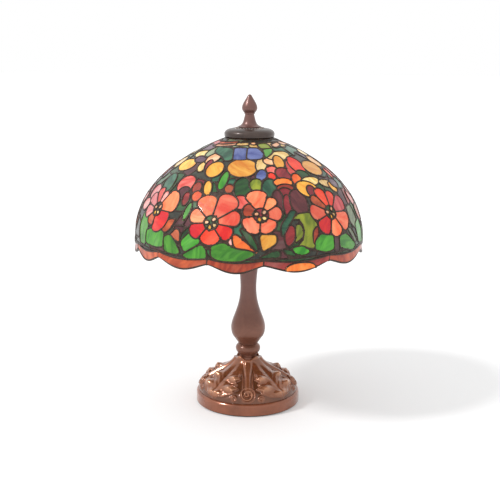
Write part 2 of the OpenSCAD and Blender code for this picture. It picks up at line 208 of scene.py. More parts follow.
def glass_material(name, deep, pale):
    """Streaky opalescent glass. Each piece has its own cut from the sheet and its own tone."""
    n = Nodes("glass_" + name)
    sheet, tone = n.attribute("sheet", "Vector"), n.attribute("tone")
    drawn = n.stretched(sheet, 0.35, 1.0, 1.0)
    streaks = n.noise(drawn, 95.0, 5.0, 0.55, 0.8)
    wisps = n.noise(drawn, 30.0, 2.0, 0.5, 1.2)
    grain = n.noise(sheet, 900.0, 3.0)
    color = n.mix(n.spread(streaks, 0.36, 0.66), linear(*deep), linear(*pale))
    cloud = tuple(0.5 * c + 0.5 * v for c, v in zip(linear(*pale), (0.80, 0.72, 0.62)))
    color = n.mix(n.spread(wisps, 0.56, 0.80, 0.0, 0.16), color, cloud)
    color = n.mix(n.spread(grain, 0.5, 0.72, 0.0, 0.12), color, (0.03, 0.02, 0.02))
    bright = n.add("ShaderNodeHueSaturation", {
        "Color": color, "Value": n.spread(tone, 0.0, 1.0, 0.72, 1.18),
        "Hue": n.spread(tone, 0.0, 1.0, 0.492, 0.508),
    }).outputs[0]
    ripple = n.noise(sheet, 160.0, 2.0)
    n.bump(n.math("ADD", ripple, n.math("MULTIPLY", grain, 0.15)), 0.35, 0.0006)
    return n.surface(color=bright, roughness=n.spread(ripple, 0.3, 0.7, 0.30, 0.45), ior=1.36,
                     coat=0.3, coat_roughness=0.035, sheen_weight=0.35, sheen_roughness=0.3)


GLASS = {
    "salmon": ((240, 92, 56), (255, 140, 98)),
    "orange": ((222, 80, 24), (242, 124, 50)),
    "red": ((216, 30, 18), (246, 72, 42)),
    "rose": ((190, 50, 52), (234, 108, 104)),
    "pink": ((214, 110, 110), (248, 178, 170)),
    "amber": ((224, 140, 32), (252, 192, 76)),
    "straw": ((214, 168, 84), (250, 220, 150)),
    "peach": ((226, 150, 100), (250, 200, 160)),
    "leaf": ((40, 122, 22), (84, 170, 46)),
    "moss": ((98, 114, 26), (150, 158, 42)),
    "forest": ((16, 52, 22), (42, 92, 40)),
    "teal": ((22, 70, 50), (60, 116, 86)),
    "blue": ((52, 66, 120), (98, 112, 158)),
    "violet": ((62, 34, 58), (98, 58, 82)),
    "maroon": ((118, 24, 32), (168, 52, 54)),
    "plum": ((64, 24, 32), (100, 46, 52)),
    "rust": ((146, 50, 24), (200, 86, 46)),
    "copper": ((150, 50, 20), (202, 90, 44)),
    "slate": ((30, 34, 28), (58, 60, 48)),
    "sage": ((98, 112, 84), (150, 160, 124)),
}
glass = {name: glass_material(name, *tones) for name, tones in GLASS.items()}
glass_names = list(glass)


def lead_material():
    """Solder with a dark patina, worn bright in patches."""
    n = Nodes("leading")
    place = n.place()
    blotch = n.noise(place, 260.0, 5.0)
    fine = n.noise(place, 1500.0, 3.0)
    color = n.mix(n.spread(blotch, 0.35, 0.65), linear(36, 24, 18), linear(66, 46, 34))
    lightened = n.spread(n.noise(place, 600.0, 4.0), 0.60, 0.72, 0.0, 0.45)
    color = n.mix(lightened, color, linear(104, 86, 70))
    n.bump(n.math("ADD", blotch, n.math("MULTIPLY", fine, 0.4)), 0.5, 0.0005)
    return n.surface(color=color, metallic=0.35, roughness=n.spread(fine, 0.3, 0.7, 0.28, 0.46))


leading = lead_material()

# ---------------------------------------------------------------- the dome's surface

GLASS_T = 3.0                # thickness of the glass
RING_PROUD = 0.9             # how far the aperture ring stands above the top of the glass
APERTURE_R = 29.0            # radius of the opening at the top
DOME_HANDLES = (38.4, -16.0), (0.0, 80.5)     # from the dome's two ends to its curve's handles
WIRE_R = 1.4                 # half thickness of the wire along the edge
LOBE_DROP = 9.5              # how far a lobe hangs below the valleys beside it
SKIRT = 30                   # length of the upright strip that the scallops are cut from
PROFILE_STEPS = 400
TOP_S = 3.0                  # where the glass starts, from the opening's edge

# Azimuths of the valleys between the lobes, from the left side round to the left side again
VALLEYS = (-93, -70, -47.5, -19, 7, 41, 72, 96, 122, 147, 171, 196, 220, 243, 267)

shade_r = high("glass_leaves")[0]
spring_z = low("glass_leaves")[2]
crown_z = high("aperture_ring")[2] - RING_PROUD
edge_low = low("rim_wire")[2] + WIRE_R        # lowest point of the glass in the scallops


def dome_profile():
    """Length down the shade's outer face, and its radius, height and outward normal there."""
    top, foot = np.array([[APERTURE_R, crown_z], [shade_r, spring_z]])
    curve = bezier([top, top + DOME_HANDLES[0], foot + DOME_HANDLES[1], foot], PROFILE_STEPS)
    skirt = np.array([[shade_r, spring_z - down] for down in np.linspace(0.5, SKIRT, 2 * SKIRT)])
    curve = np.vstack([curve, skirt])
    step = np.diff(curve, axis=0)
    length = np.concatenate([[0], np.cumsum(np.hypot(*step.T))])
    slope = np.gradient(curve, length, axis=0)
    return length, curve[:, 0], curve[:, 1], -slope[:, 1], slope[:, 0]


LENGTH, RADIUS, HEIGHT, OUT_R, OUT_Z = dome_profile()
spring_s = LENGTH[PROFILE_STEPS - 1]          # where the dome ends and the skirt starts


def radius_at(s):
    return np.interp(s, LENGTH, RADIUS)


def on_dome(spots, out=0.0):
    """The (azimuth, s) spots as points `out` above the shade's outer face."""
    azimuth, s = spots.T
    r = np.interp(s, LENGTH, RADIUS) + out * np.interp(s, LENGTH, OUT_R)
    z = np.interp(s, LENGTH, HEIGHT) + out * np.interp(s, LENGTH, OUT_Z)
    return around(np.radians(azimuth), r, z)


def place_and_normal(spots, out=0.0):
    """The spots' points `out` above the shade's outer face, and its outward normals there."""
    place = on_dome(spots, out)
    return place, on_dome(spots, out + 1) - place


def edge_s(azimuth):
    """How far down the shade its scalloped edge lies."""
    azimuth = (np.asarray(azimuth, float) - VALLEYS[0]) % 360 + VALLEYS[0]
    i = np.clip(np.searchsorted(VALLEYS, azimuth, side="right") - 1, 0, len(VALLEYS) - 2)
    a, b = np.take(VALLEYS, i), np.take(VALLEYS, i + 1)
    u = (2 * azimuth - a - b) / (b - a)
    lift = LOBE_DROP * (1 - np.clip(np.cos(np.pi / 2 * u), 0, 1) ** 1.3)
    return spring_s + spring_z - edge_low - lift

# ---------------------------------------------------------------- the pattern of the glass
#
# Pieces are laid one over another, so a later piece cuts into an earlier one. An oval is
# (colour, azimuth, s, half width, half height, lean): sizes in mm, lean in degrees clockwise.
# An outline is (colour, [(azimuth, s), ...]), and its corners are rounded off.

FRONT_OVALS = [
    # upper rows, left to right
    ("straw", -59, 45, 15, 8, -6), ("sage", -46, 36, 9, 12, 10), ("amber", -61, 70, 15, 11, 0),
    ("straw", -41, 70, 5.5, 9, -20), ("peach", -37.5, 51, 8.5, 10.5, 12),
    ("violet", -52, 56, 10, 6, 10), ("maroon", -35.5, 66, 4.5, 11, -18),
    ("amber", -27.5, 72, 10.5, 13, -4), ("amber", -5.5, 67, 16.5, 15, 0),
    ("straw", 10.5, 61, 6.5, 12.5, 14), ("peach", 19.5, 54.5, 8, 7, 0),
    ("straw", 33, 43.5, 16, 8.5, -8), ("amber", 27.5, 57, 6.5, 13, 16),
    ("rose", 18, 72, 7.5, 7, 0), ("red", 16, 83, 5, 6.5, 0), ("maroon", 26, 79, 10, 10, 10),
    ("rose", 35.5, 68, 6, 14, 22), ("red", 43, 64.5, 9.5, 15, 6), ("amber", 59, 74, 15.5, 13, 0),
    ("blue", 8.5, 80.5, 6, 9.5, 24), ("leaf", -17, 90, 5, 14, 4), ("forest", 41, 85, 9, 9, 0),
    # between the upper rows and the flowers
    ("rose", -43, 101, 12, 13, -10), ("plum", -41, 114, 8, 8, -10), ("rust", -33, 105, 6, 9, -14),
    ("orange", -30.5, 117, 6.5, 7, 0), ("amber", -25.5, 104, 5, 11, -16),
    ("maroon", -37, 122, 5, 9, -8),
    ("forest", -4, 101, 9.5, 15, 0), ("rust", -12, 103, 5.5, 6.5, 0), ("moss", 4.5, 96.5, 7.5, 9, 0),
    ("teal", 12.5, 101, 8.5, 13, 14), ("orange", 22.5, 94, 11, 7, 0), ("rust", 22.5, 103, 10, 6, 0),
    ("maroon", 21.5, 112, 9, 9, 0), ("plum", 15.5, 125, 7, 18, 8), ("maroon", 20.8, 127, 5, 13, 8),
    ("plum", 28, 125, 10.5, 17, 0), ("orange", 33.5, 90, 6.5, 9.5, 26), ("straw", 44, 95, 13, 6.5, 0),
    ("amber", 37.5, 106, 14, 11, 14), ("straw", 57, 102, 12, 6, 14),
    ("amber", 61.5, 110, 6.5, 8, -20), ("violet", 67, 105, 9, 7, 0),
    ("rose", -4.5, 122.5, 8.5, 8.5, 0), ("rust", -1, 134, 5, 7, 10),
    ("leaf", -33, 138, 4, 11, 10), ("teal", -60, 104, 10, 15, -30),
    # beside the flowers
    ("pink", -71.5, 141, 11, 8, -10), ("pink", -68.5, 121, 11, 10, 10),
    ("rose", -4.5, 122, 9.5, 8.5, 0), ("maroon", 39.5, 110, 6, 8, 20),
    # small accents low down
    ("maroon", 19.7, 165.5, 6.2, 11.5, 15), ("pink", -8.2, 172.5, 3, 5, 0),
]

# A flower is (azimuth, s, its heart's colour, petals), and a petal is (colour, the angle where it
# starts, reach in mm): angles go clockwise from the crown.
FRONT_FLOWERS = [
    (-55, 142, "slate", [("salmon", 22, 37), ("red", 92, 32), ("rust", 178, 24), ("pink", 232, 30),
                         ("pink", 278, 33), ("rose", 318, 33), ("pink", 350, 27)]),
    (-18.5, 150, "forest", [("salmon", 6, 43), ("salmon", 56, 37), ("red", 98, 32), ("red", 142, 28),
                            ("red", 216, 31), ("salmon", 264, 31), ("orange", 312, 38)]),
    (6, 139, "maroon", [("salmon", 20, 29), ("salmon", 58, 27), ("salmon", 112, 25),
                        ("salmon", 186, 27), ("rust", 262, 23), ("salmon", 322, 35)]),
    (46.5, 142, "forest", [("red", 12, 33), ("rose", 48, 38), ("salmon", 94, 38),
                           ("salmon", 146, 32), ("red", 200, 33), ("salmon", 252, 34),
                           ("rust", 300, 33), ("red", 334, 36)]),
]

FRONT_OUTLINES = [
    ("blue", [(-21, 26), (-2, 24), (-2, 50), (-16, 51), (-20, 40)]),
    ("blue", [(-2, 24), (12, 25), (17, 38), (12, 49), (-2, 50)]),
    ("leaf", [(-67, 152), (-60, 154), (-58, 176), (-60, 190), (-66, 190), (-69, 170)]),
    ("leaf", [(-59, 171), (-52, 166), (-45, 168), (-44.5, 186), (-50, 189), (-58.5, 188)]),
    ("rust", [(-43.5, 152), (-38.5, 150), (-40.5, 162), (-43.5, 169), (-47, 165)]),
    ("rust", [(-37, 161), (-34.5, 164), (-34, 178), (-40.5, 171)]),
    ("leaf", [(-44, 174), (-40.5, 170), (-36.5, 178), (-33.5, 190), (-36, 193.5), (-43.5, 192)]),
    ("forest", [(-33, 165), (-29.5, 157), (-27.5, 163), (-31, 172), (-34, 176)]),
    ("leaf", [(-33.5, 177), (-27.5, 160), (-22.5, 175), (-31, 189)]),
    ("leaf", [(-32.5, 193), (-22.5, 177), (-20, 183), (-19.7, 195), (-26, 199)]),
    ("leaf", [(-16.7, 177), (-11, 173.5), (-7, 179), (0, 181), (2.4, 187), (-4, 195.5),
              (-13, 195.5), (-16.8, 191)]),
    ("orange", [(-7.5, 165), (-5.5, 163), (0, 175), (3.8, 185), (0, 181), (-6.5, 179)]),
    ("forest", [(-4.5, 155), (1, 161), (4, 176), (4.2, 184), (-1, 171)]),
    ("amber", [(5, 163), (13, 163), (13, 174), (6.3, 184)]),
    ("forest", [(4, 191.5), (12, 182), (14.5, 183), (14.5, 192)]),
    ("teal", [(22, 134), (25, 137), (19, 155), (16, 167), (15.5, 152)]),
    ("moss", [(23.2, 152.5), (26, 153), (26.8, 161), (26, 168.5), (21.5, 175), (22.6, 167),
              (22.6, 158)]),
    ("moss", [(22, 147.5), (25, 140.5), (32.5, 139.5), (34, 148), (35.5, 160), (32.8, 167),
              (31.8, 181), (23.3, 177), (26.3, 170), (27.3, 161), (26.8, 152), (25.3, 147)]),
    ("rust", [(35.3, 156), (35.5, 166), (32.8, 178), (31.5, 178), (32, 163)]),
    ("forest", [(15.8, 181), (19.5, 182), (23, 191), (17.5, 189)]),
    ("leaf", [(20, 180), (26, 178.5), (30, 187), (25.5, 191), (22, 188)]),
    ("leaf", [(36.5, 167), (44.3, 171), (44, 188), (39, 190), (32.5, 185), (33, 175)]),
    ("plum", [(44.7, 172), (48.4, 172), (48.4, 192), (44.7, 192)]),
    ("leaf", [(49, 174), (55, 172), (64, 190), (60, 196), (49, 188)]),
    ("sage", [(56, 165), (61, 168), (66, 186), (63, 187)]),
    ("sage", [(62, 140), (69, 140), (70, 160), (66, 170), (61, 160)]),
    ("leaf", [(66, 166), (73, 160), (77, 176), (74, 192), (68, 188)]),
    ("peach", [(-60, 19), (-22, 12), (-22, 18), (-58, 26)]),
    ("rust", [(-60, 12), (-22, 7), (-22, 12), (-60, 19)]),
    ("straw", [(-22, 12), (-1, 10), (-1, 18), (-22, 19)]),
    ("peach", [(2, 9), (12, 9), (12, 16), (2, 16)]),
    ("moss", [(13, 14), (32, 12), (33, 26), (16, 26)]),
    ("peach", [(38, 16), (60, 12), (60, 19), (40, 25)]),
    ("teal", [(-47, 26), (-22, 26), (-17, 52), (-24, 54), (-31, 44), (-44, 38)]),
    ("leaf", [(18, 27), (34, 27), (28, 36), (20, 44), (15, 49), (17, 40)]),
]

# The sprays that fill the sides and the back: azimuth of the flower, and its colours
SPRAYS = [
    (86, "pink", "salmon", "leaf"), (116, "salmon", "red", "moss"), (146, "rose", "salmon", "leaf"),
    (177, "salmon", "orange", "leaf"), (208, "red", "rose", "moss"), (238, "salmon", "red", "leaf"),
    (269, "pink", "rose", "leaf"),
]

# Colours of the ground between the motifs, by the distance down the dome where each band ends
GROUND_COLORS = [
    (11, ("slate", "sage", "rust", "slate")), (27, ("peach", "moss", "rose", "sage", "straw")),
    (52, ("teal", "leaf", "teal", "forest", "teal", "violet")),
    (92, ("forest", "slate", "teal", "forest", "plum")),
    (132, ("forest", "plum", "forest", "teal", "maroon", "slate")),
    (165, ("slate", "forest", "plum", "teal", "slate")),
    (400, ("forest", "slate", "plum", "forest", "slate")),
]

PETALS = 7                   # in each flower of the sprays


def spray(azimuth, upper, lower, leaf, draw):
    """One flower with its leaves, stalk and blossoms, drawn with small differences each time."""
    def outline(color, side, *edge):
        outlines.append((color, [(azimuth + side * x, s) for x, s in edge]))

    outlines, ovals = [], []
    for side in (-1, 1):
        reach = draw.uniform(12, 14)
        outline(leaf, side, (1.6, 176), (6, 171), (reach - 2, 178), (reach, 190), (reach - 5, 195),
                (1.7, 192))
        outline(draw.choice(("moss", "rust", "forest")), side, (9, 156), (12.5, 152), (14.5, 168),
                (12, 178), (9, 168))
        blossom = azimuth + side * draw.uniform(7.5, 9.5)
        ovals += [
            (draw.choice(("amber", "straw")), blossom, draw.uniform(64, 72), draw.uniform(11, 14),
             draw.uniform(11, 13), draw.uniform(-20, 20)),
            (draw.choice(("peach", "rose", "leaf", "orange")), blossom - side * 5,
             draw.uniform(90, 100), draw.uniform(7, 9), draw.uniform(10, 12), side * 14),
            (draw.choice(("red", "rose", "violet", "blue")), blossom + side * 3,
             draw.uniform(86, 92), draw.uniform(6, 8), draw.uniform(8, 10), -side * 12),
        ]
    outline("plum", 1, (-1.5, 172), (1.5, 172), (1.6, 193), (-1.6, 193))
    ovals.append((draw.choice(("straw", "peach")), azimuth + draw.uniform(-4, 4),
                  draw.uniform(42, 48), draw.uniform(12, 15), 8, draw.uniform(-8, 8)))
    petals = []
    start = draw.uniform(0, 30)
    for i in range(PETALS):
        color = lower if 90 < start < 250 else upper
        color = draw.choice((color, color, color, "rust", "rose"))
        petals.append((color, start, draw.uniform(27, 36)))
        start += draw.uniform(46, 56) if i < PETALS - 2 else (360 - start + petals[0][1]) / 2
    heart = draw.choice(("slate", "forest", "maroon"))
    return outlines, ovals, (azimuth, 142 + draw.uniform(-4, 3), heart, petals)


TIP_STEPS = 12               # steps along the outer end of a petal
PETAL_FOOT = 3               # how far from the flower's middle a petal starts, in mm
HEART_R = 9.4
BEAD_REACH = 5.6             # how far from the flower's middle the beads lie
HEART_BEADS = ("peach", 30), ("straw", 115), ("amber", 180), ("peach", 268)   # colour and angle
BEAD_SIZE = 3.1, 3.9         # half width and half height of those beads


def flower_motifs(azimuth, s, heart, petals):
    """The petals that fan out round a flower's heart, and the beads of glass in it."""
    def spot(angle, reach):
        height = s - reach * math.cos(math.radians(angle))
        across = reach * math.sin(math.radians(angle))
        return azimuth + math.degrees(across / radius_at(height)), height

    motifs = []
    for (color, start, reach), (_, end, _) in zip(petals, petals[1:] + petals[:1]):
        width = (end - start) % 360
        tip = [spot(start + width * k / TIP_STEPS,
                    reach * (0.82 + 0.18 * math.sin(math.pi * k / TIP_STEPS) ** 0.6))
               for k in range(TIP_STEPS + 1)]
        motifs.append((color, [spot(start, PETAL_FOOT)] + tip + [spot(end, PETAL_FOOT)]))
    motifs.append((heart, oval_outline(azimuth, s, HEART_R, HEART_R, 0)))
    for color, angle in HEART_BEADS:
        bead, height = spot(angle + petals[0][1], BEAD_REACH)
        motifs.append((color, oval_outline(bead, height, *BEAD_SIZE, angle)))
    return motifs


OVAL_POINTS = 24


def oval_outline(azimuth, s, half_width, half_height, lean):
    """An egg, a little narrower at its lower end, whose own centre line leans."""
    turn = math.radians(lean)
    points = []
    for k in range(OVAL_POINTS):
        a = math.tau * k / OVAL_POINTS
        x = half_width * math.sin(a) * (1 + 0.10 * math.cos(a))
        y = -half_height * math.cos(a)
        x, y = x * math.cos(turn) - y * math.sin(turn), x * math.sin(turn) + y * math.cos(turn)
        points.append((azimuth + math.degrees(x / radius_at(s)), s + y))
    return points


CUT = 0.13                   # share of a side cut away at each of its corners
KEPT = 1 - CUT


def rounded(corners):
    """The outline through the corners with each cut off twice, as a glass cutter grinds them."""
    for _ in range(2):
        cut = []
        for (ax, ay), (bx, by) in zip(corners, corners[1:] + corners[:1]):
            cut.append((KEPT * ax + CUT * bx, KEPT * ay + CUT * by))
            cut.append((CUT * ax + KEPT * bx, CUT * ay + KEPT * by))
        corners = cut
    return corners


BORDER_COLORS = "copper", "rust", "copper", "copper", "rust"
MAROON_LOBE = 7, 41          # the lobe that has an orange oval set in maroon
STRIP_STEPS = 12             # steps along each side of a strip
STRIP_TOP, STRIP_DIP = 0.8, 3.4      # a strip starts this far below the dome's end, and dips this


def border_outlines():
    """The strip along the foot of each lobe, and the oval set in one of them."""
    strips = []
    for i, (a, b) in enumerate(zip(VALLEYS, VALLEYS[1:])):
        steps = range(STRIP_STEPS + 1)
        rise = [(a + (b - a) * k / STRIP_STEPS,
                 spring_s + STRIP_TOP + STRIP_DIP * math.sin(math.pi * k / STRIP_STEPS))
                for k in steps]
        edge = [(b + 1 + (a - b - 2) * k / STRIP_STEPS, spring_s + SKIRT) for k in steps]
        if (a, b) == MAROON_LOBE:
            strips.append(("maroon", rise + edge))
            strips.append(("orange", oval_outline((a + b) / 2 + 1, spring_s + 14, 21, 8.5, 0)))
        else:
            strips.append((BORDER_COLORS[i % len(BORDER_COLORS)], rise + edge))
    return strips


LAP = 1.18                   # ovals are laid this much larger than they show, so that they meet
OUTLINE_LAP = 1.10           # and outlines this much


def full_pattern():
    """Every motif as (colour, outline), in the order laid."""
    draw = random.Random(7)
    outlines, ovals, flowers = [], [], []
    for azimuth, upper, lower, leaf in SPRAYS:
        more_outlines, more_ovals, flower = spray(azimuth, upper, lower, leaf, draw)
        outlines += more_outlines
        ovals += more_ovals
        flowers.append(flower)
    motifs = []
    for color, azimuth, s, half_width, half_height, lean in ovals + FRONT_OVALS:
        motifs.append((color, oval_outline(azimuth, s, LAP * half_width, LAP * half_height, lean)))
    for color, outline in outlines + FRONT_OUTLINES:
        centre = np.mean(outline, axis=0)
        laid = centre + OUTLINE_LAP * (np.array(outline) - centre)
        motifs.append((color, rounded([tuple(spot) for spot in laid])))
    for flower in flowers + FRONT_FLOWERS:
        motifs += flower_motifs(*flower)
    return motifs + border_outlines()


# ---------------------------------------------------------------- the joints between the pieces

SEAM = 192.5                 # azimuth, at the back, where the unrolled dome is cut
OVERHANG = 6                 # how far the ground's joints run on past the seam, in degrees
MOTIF_REACH = 10             # motifs this far past the seam are laid on both sides of it
ACROSS = 2.0                 # one degree is this many mm wide on the unrolled dome
ROWS = (11, 24, 44, 66, 90, 114, 138, 162, 182, spring_s)
CELL = 24.0                  # width of a ground piece, in mm
GROUND = 100000              # number of the first ground cell: smaller numbers are motifs
ROW_CELLS = 1000             # more than the cells in one row
SWEEP_STEP = 1.4             # spacing of the points along a ground row, in degrees
JOINT_STEP = 2.4             # spacing of the points along a joint
FILL_STEP = 3.6              # spacing of the points inside a piece
CLEAR_OF_JOINTS = 0.62 * FILL_STEP
LOWEST_FILL = spring_s + 14  # no points are spread below this
EDGE_S = 204                 # about how far down the edge is at the seam
RIM_POINTS, TOP_POINTS = 420, 140     # points along the scalloped edge and along the top


def seam_at(s):
    return SEAM + 3.0 * np.sin(np.asarray(s) / 13.0)


def row_line(k, azimuth):
    """The wavy joint below ground row k; it closes on itself all the way round."""
    a = np.radians(azimuth)
    swing = 0.12 * (ROWS[k] - ROWS[k - 1]) if 0 < k < len(ROWS) - 1 else 0.0
    return ROWS[k] + swing * (np.sin(7 * a + 1.3 * k) + 0.8 * np.sin(17 * a + 2.1 * k))


def resample(outline):
    """The closed outline with points about JOINT_STEP apart on the unrolled dome."""
    points = np.vstack([outline, outline[:1]]).astype(float)
    gap = np.diff(points, axis=0)
    width = np.radians(gap[:, 0]) * radius_at((points[1:, 1] + points[:-1, 1]) / 2)
    along = np.concatenate([[0], np.cumsum(np.hypot(width, gap[:, 1]))])
    count = max(3, round(along[-1] / JOINT_STEP))
    at = np.linspace(0, along[-1], count + 1)[:-1]
    return np.stack([np.interp(at, along, column) for column in points.T], axis=1)


def ground_ribs():
    """For each ground row, the slanting joints that cross it: lists of (azimuth, s) points."""
    ribs = []
    for k in range(len(ROWS)):
        above = ROWS[k - 1] if k else TOP_S
        count = round(2 * math.pi * radius_at((above + ROWS[k]) / 2) / CELL)
        row = []
        for i in range(-count // 8, count + count // 8 + 1):
            draw = random.Random(ROW_CELLS * k + i % count)
            middle = SEAM - 360 + 360 * (i + 0.5 * (k % 2) + draw.uniform(-0.22, 0.22)) / count
            lean = draw.uniform(-0.25, 0.25) * 360 / count
            head, foot = middle - lean, middle + lean
            start = row_line(k - 1, head) if k else TOP_S
            bow = draw.uniform(-0.06, 0.06) * 360 / count
            u = np.linspace(0, 1, 7)
            azimuth = head + (foot - head) * u + bow * 4 * u * (1 - u)
            row.append(np.stack([azimuth, start + (row_line(k, foot) - start) * u], axis=1))
        ribs.append(row)
    return ribs


def inside(points, outline):
    """Which points lie in a closed outline."""
    x, y = points[:, 0], points[:, 1]
    result = np.zeros(len(points), bool)
    for (ax, ay), (bx, by) in zip(outline, np.roll(outline, -1, axis=0)):
        if ay != by:
            crosses = (ay > y) != (by > y)
            result ^= crosses & (x < (bx - ax) * (y - ay) / (by - ay) + ax)
    return result


def field_outline():
    """The unrolled dome's outline: down the seam, along the scallops, and back over the top."""
    foot = seam_at(EDGE_S)
    seam_s = np.append(np.arange(TOP_S, edge_s(foot - 360), JOINT_STEP), float(edge_s(foot)))
    right = np.stack([seam_at(seam_s), seam_s], axis=1)
    left = right - (360, 0)
    rim_azimuth = np.linspace(left[-1, 0], right[-1, 0], RIM_POINTS)
    rim = np.stack([rim_azimuth, edge_s(rim_azimuth)], axis=1)[1:-1]
    top_azimuth = np.linspace(left[0, 0], right[0, 0], TOP_POINTS)
    top = np.stack([top_azimuth, np.full_like(top_azimuth, TOP_S)], axis=1)[1:-1]
    return np.vstack([left, rim, right[::-1], top[::-1]])


def joined(lines):
    """The points of all the lines in one list, and the edges that run along the lines."""
    points, edges = [], []
    for line, closed in lines:
        first = len(points)
        points += [tuple(p) for p in line]
        last = len(points) - 1
        edges += [(i, i + 1) for i in range(first, last)]
        if closed:
            edges.append((last, first))
    return points, edges


def fill_points(joint_points):
    """Points spread evenly between the joints, and clear of them."""
    def unrolled(azimuth, s):
        return math.radians(azimuth) * radius_at(s), s, 0

    near = kdtree.KDTree(len(joint_points))
    for i, spot in enumerate(joint_points):
        near.insert(unrolled(*spot), i)
    near.balance()
    fills = []
    draw = random.Random(3)
    s = TOP_S + 2
    while s < LOWEST_FILL:
        step = math.degrees(FILL_STEP / radius_at(s))
        azimuth = SEAM - 360 - OVERHANG + draw.uniform(0, step)
        while azimuth < SEAM + OVERHANG:
            spot = azimuth + draw.uniform(-0.2, 0.2) * step, s + draw.uniform(-0.5, 0.5)
            if near.find(unrolled(*spot))[2] > CLEAR_OF_JOINTS:
                fills.append(spot)
            azimuth += step
        s += FILL_STEP * 0.87
    return fills


def lay_out():
    """Triangulates the unrolled dome along every joint.

    Returns the points (azimuth, s), the triangles, what owns each, and the motifs' colours. An
    owner is a motif's number, or a ground cell's from GROUND up.
    """
    motifs = []
    for color, outline in full_pattern():
        line = resample(outline)
        for turn in (-360, 0, 360):
            left, right = line[:, 0].min() + turn, line[:, 0].max() + turn
            if right > SEAM - 360 - MOTIF_REACH and left < SEAM + MOTIF_REACH:
                motifs.append((color, line + (turn, 0)))
    ribs = ground_ribs()
    sweep = np.arange(SEAM - 360 - OVERHANG, SEAM + OVERHANG + 0.1, SWEEP_STEP)
    boundary = field_outline()
    lines = [(motif, True) for _, motif in motifs]
    lines += [(np.stack([sweep, row_line(k, sweep)], axis=1), False) for k in range(len(ROWS))]
    lines += [(rib, False) for row in ribs for rib in row]
    lines.append((boundary, True))
    spots, edges = joined(lines)
    flat = [Vector((a * ACROSS, s)) for a, s in spots + fill_points(spots)]
    verts, _, faces, *_ = delaunay_2d_cdt(flat, edges, [], 0, 1e-4, False)
    points = np.array([(v.x / ACROSS, v.y) for v in verts])
    triangles = np.array(faces)
    middle = points[triangles].mean(axis=1)
    kept = inside(middle, boundary)
    triangles, middle = triangles[kept], middle[kept]

    row = np.zeros(len(triangles), int)
    for k in range(len(ROWS)):
        row += middle[:, 1] > np.interp(middle[:, 0], sweep, row_line(k, sweep))
    owner = GROUND + ROW_CELLS * row
    for k, row_ribs in enumerate(ribs):
        here = np.nonzero(row == k)[0]
        for rib in row_ribs:
            owner[here] += middle[here, 0] > np.interp(middle[here, 1], rib[:, 1], rib[:, 0])
    for i, (_, outline) in enumerate(motifs):
        (left, top), (right, foot) = outline.min(axis=0), outline.max(axis=0)
        box = np.nonzero((middle[:, 0] > left) & (middle[:, 0] < right)
                         & (middle[:, 1] > top) & (middle[:, 1] < foot))[0]
        owner[box[inside(middle[box], outline)]] = i
    return points, triangles, owner, [color for color, _ in motifs]


points, triangles, owner, motif_colors = lay_out()

# ---------------------------------------------------------------- the pieces of glass


def triangle_areas(corners):
    a, b, c = corners.transpose(1, 0, 2)
    return np.linalg.norm(np.cross(b - a, c - a), axis=1) / 2


def edge_between(a, b):
    return min(a, b), max(a, b)


def connected():
    """Groups touching triangles of one owner. Returns each triangle's group and the joint edges."""
    parent = list(range(len(triangles)))

    def root(i):
        while parent[i] != i:
            parent[i] = parent[parent[i]]
            i = parent[i]
        return i

    sides = {}
    for t, corners in enumerate(triangles.tolist()):
        for a, b in zip(corners, corners[1:] + corners[:1]):
            sides.setdefault(edge_between(a, b), []).append(t)
    for pair in sides.values():
        if len(pair) == 2 and owner[pair[0]] == owner[pair[1]]:
            parent[root(pair[0])] = root(pair[1])
    group = np.array([root(i) for i in range(len(triangles))])
    joints = {edge: pair for edge, pair in sides.items()
              if len(pair) == 1 or group[pair[0]] != group[pair[1]]}
    return group, joints


group, joints = connected()
surface, outward = place_and_normal(points)
areas = triangle_areas(surface[triangles])

# A motif's piece and a ground piece are glass from these sizes up. Smaller ones are solder.
SMALLEST = 15.0, 34.0        # area, in mm2
NARROWEST = 1.7, 2.3         # twice the area for the length of the outline, in mm


def sort_groups():
    """Each group's triangles, and whether it is big enough to be glass."""
    outline = {}
    for (a, b), pair in joints.items():
        length = np.linalg.norm(surface[a] - surface[b])
        for t in pair:
            outline[group[t]] = outline.get(group[t], 0.0) + length
    order = np.argsort(group, kind="stable")
    starts = np.nonzero(np.diff(group[order], prepend=-1))[0]
    members = np.split(order, starts[1:])
    result = {}
    for member in members:
        g = group[member[0]]
        area = areas[member].sum()
        kind = int(owner[member[0]] >= len(motif_colors))
        result[g] = (member, area > SMALLEST[kind] and 2 * area / outline[g] > NARROWEST[kind])
    return result


groups = sort_groups()
is_glass = {g: glassy for g, (_, glassy) in groups.items()}

FILL_PROUD = 0.55            # how far the solder in a sliver stands above the glass
INSET = 0.35                 # the glass stops this far short of the middle of the joint
FLATTEN = 0.6                # how far a piece is pressed towards flat
MOST_FLAT = 0.45             # but never by more than this, in mm
ROCK = 0.012                 # how far a piece may lean, in mm per mm
MOST_ROCK = 0.22             # but never by more than this, in mm
UNEVEN = 0.12                # how far a piece may stand above or below its neighbours
STRAIGHT = 0.3               # below this length the inward directions at a point cancel out
SHARP = 35                   # edges turn smoothly up to this many degrees


